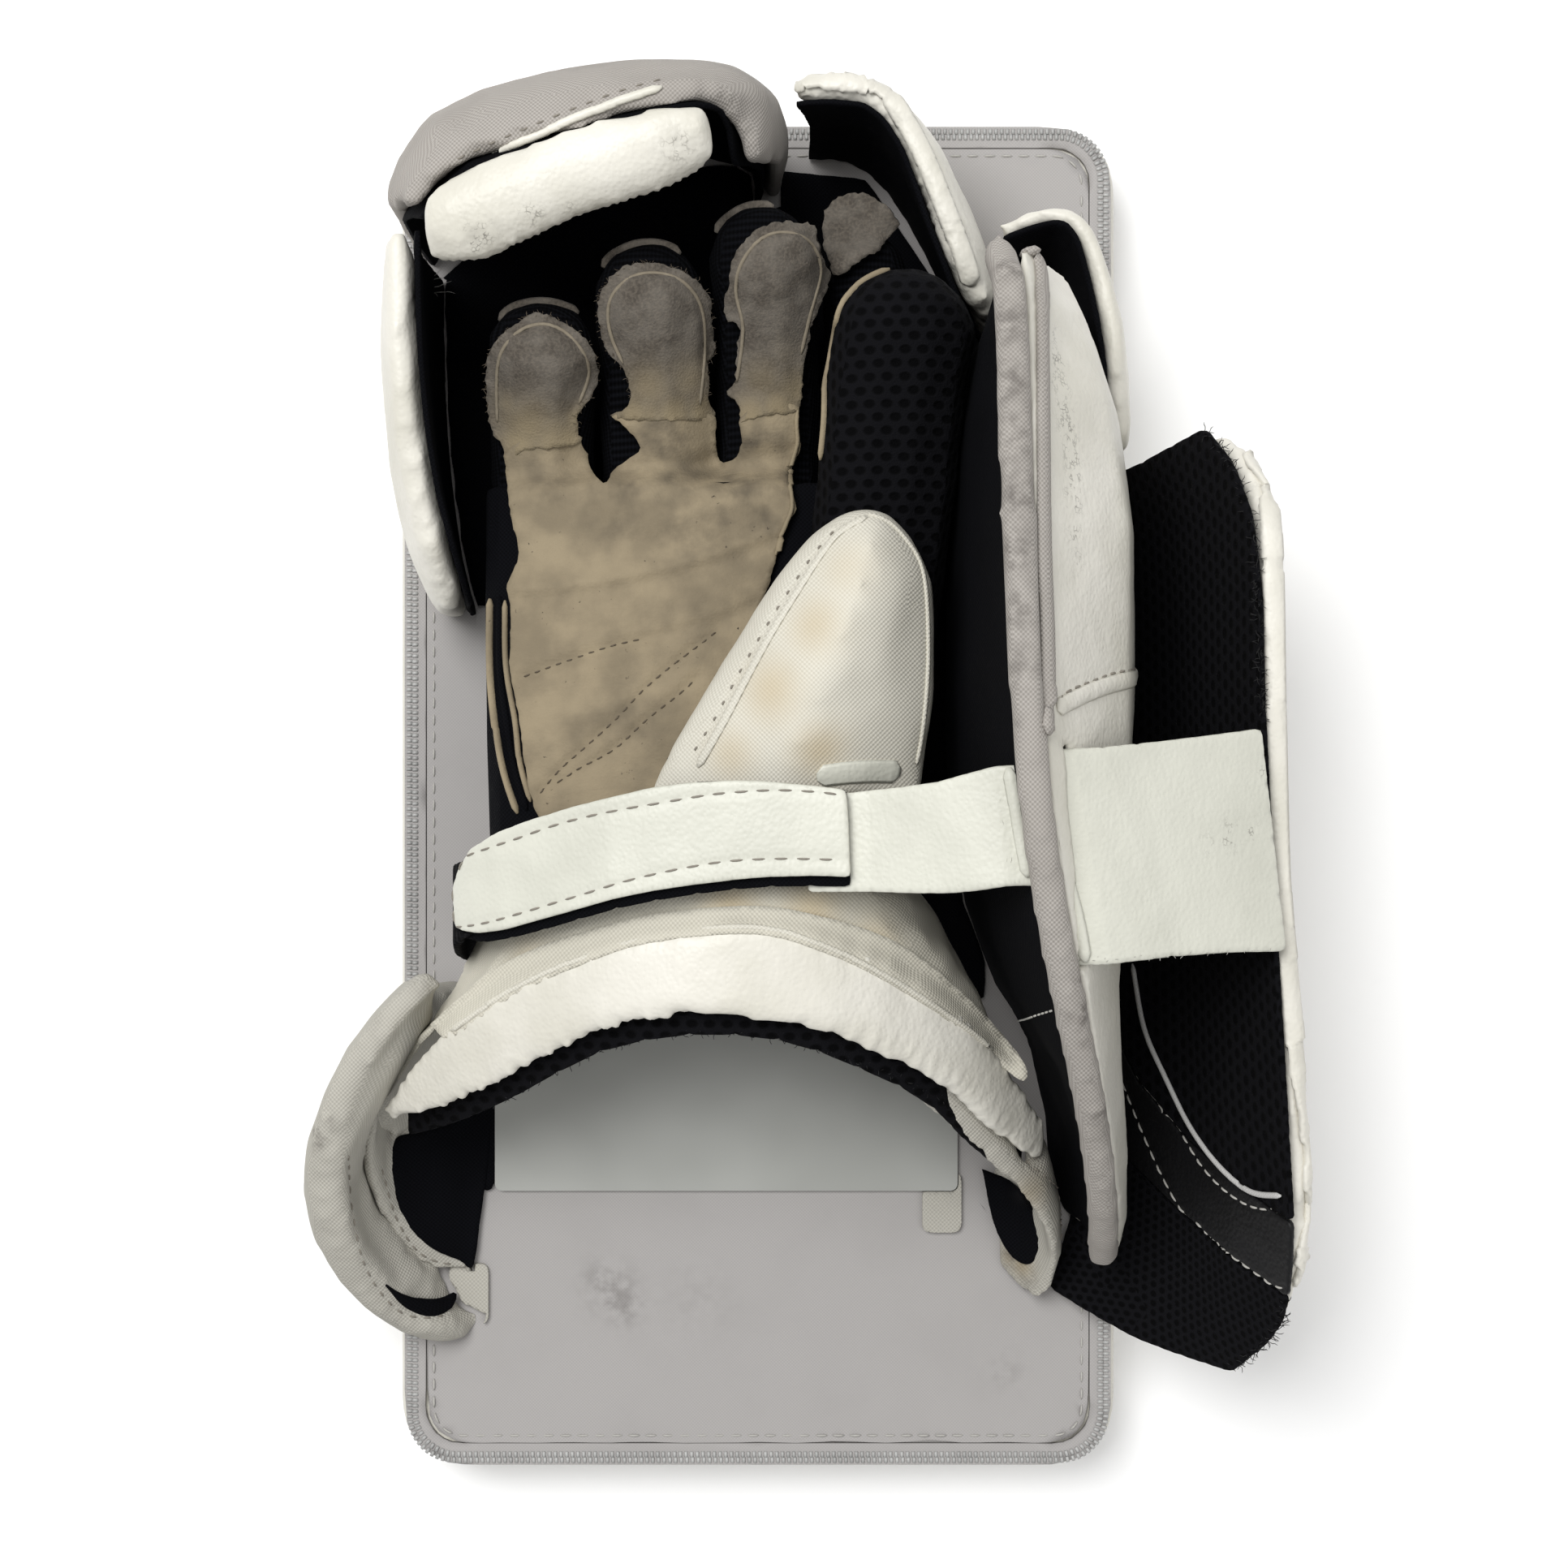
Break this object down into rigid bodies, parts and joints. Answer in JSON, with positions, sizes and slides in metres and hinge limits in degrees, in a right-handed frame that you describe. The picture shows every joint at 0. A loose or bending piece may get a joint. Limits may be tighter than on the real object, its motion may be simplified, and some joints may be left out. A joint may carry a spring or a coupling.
{
  "type": "hockey goalie blocker",
  "caption": "Flat padded board with a glove, finger box, thumb shield, side wall and wrist cuff fixed to its back, worn on the stick hand.",
  "frame": {"origin": "middle of the board's front face, which the part rests on", "axes": "+Y towards the fingertips along the board, +X towards the thumb side, +Z out of the board's back towards the palm"},
  "size_m": [0.2622, 0.381, 0.1574],
  "materials": {
    "white_leather": "white synthetic leather, pebbled and slightly worn",
    "cream_leather": "thin cream palm leather, creased and dirty",
    "grey_suede": "worn grey-beige suede",
    "white_nylon": "white woven nylon",
    "cream_nylon": "coarse cream nylon with yellowish stains",
    "grey_twill": "grey twill binding",
    "black_nylon": "black woven nylon",
    "black_mesh": "black spacer mesh",
    "black_leather": "black grained synthetic leather",
    "grey_plastic": "grey matt plastic sheet"
  },
  "bodies": {
    "root": {"board": "white_leather", "board_zipper": "white_nylon", "board_back_panel": "white_nylon", "box_base": "black_nylon", "wrist_plate": "grey_plastic", "plate_side_strip": "black_nylon", "tab_little_side": "white_nylon", "tab_thumb_side": "white_nylon", "hand_back": "black_nylon", "palm_panel": "cream_leather", "thumb_sleeve": "black_mesh", "finger_little": "black_mesh", "finger_ring": "black_mesh", "finger_middle": "black_mesh", "finger_index": "black_mesh", "finger_pad_little": "grey_suede", "finger_pad_ring": "grey_suede", "finger_pad_middle": "grey_suede", "finger_pad_index": "grey_suede", "little_side_wall": "white_leather", "little_side_wall_lining": "black_nylon", "fingertip_hood": "grey_twill", "fingertip_hood_lining": "black_nylon", "fingertip_bar": "white_leather", "index_side_wall": "white_leather", "index_side_wall_lining": "black_nylon", "corner_wall": "white_leather", "corner_wall_lining": "black_nylon", "side_wall": "white_leather", "side_wall_mesh": "black_mesh", "side_wall_band": "black_leather", "side_wall_bumper": "black_mesh", "shield_binding": "grey_twill", "shield_leather": "white_leather", "shield_pad": "black_nylon", "thumb_guard": "cream_nylon", "tie_strap": "white_leather", "wide_strap": "white_leather", "wrist_strap": "white_leather", "strap_backing": "black_nylon", "strap_loop": "black_nylon", "cuff_pad": "white_leather", "cuff_lining": "black_mesh", "cuff_gusset": "cream_nylon", "cuff_roll_inner": "cream_nylon", "cuff_roll_outer": "white_nylon", "cuff_roll_thumb_side": "cream_nylon"}
  },
  "joints": []
}
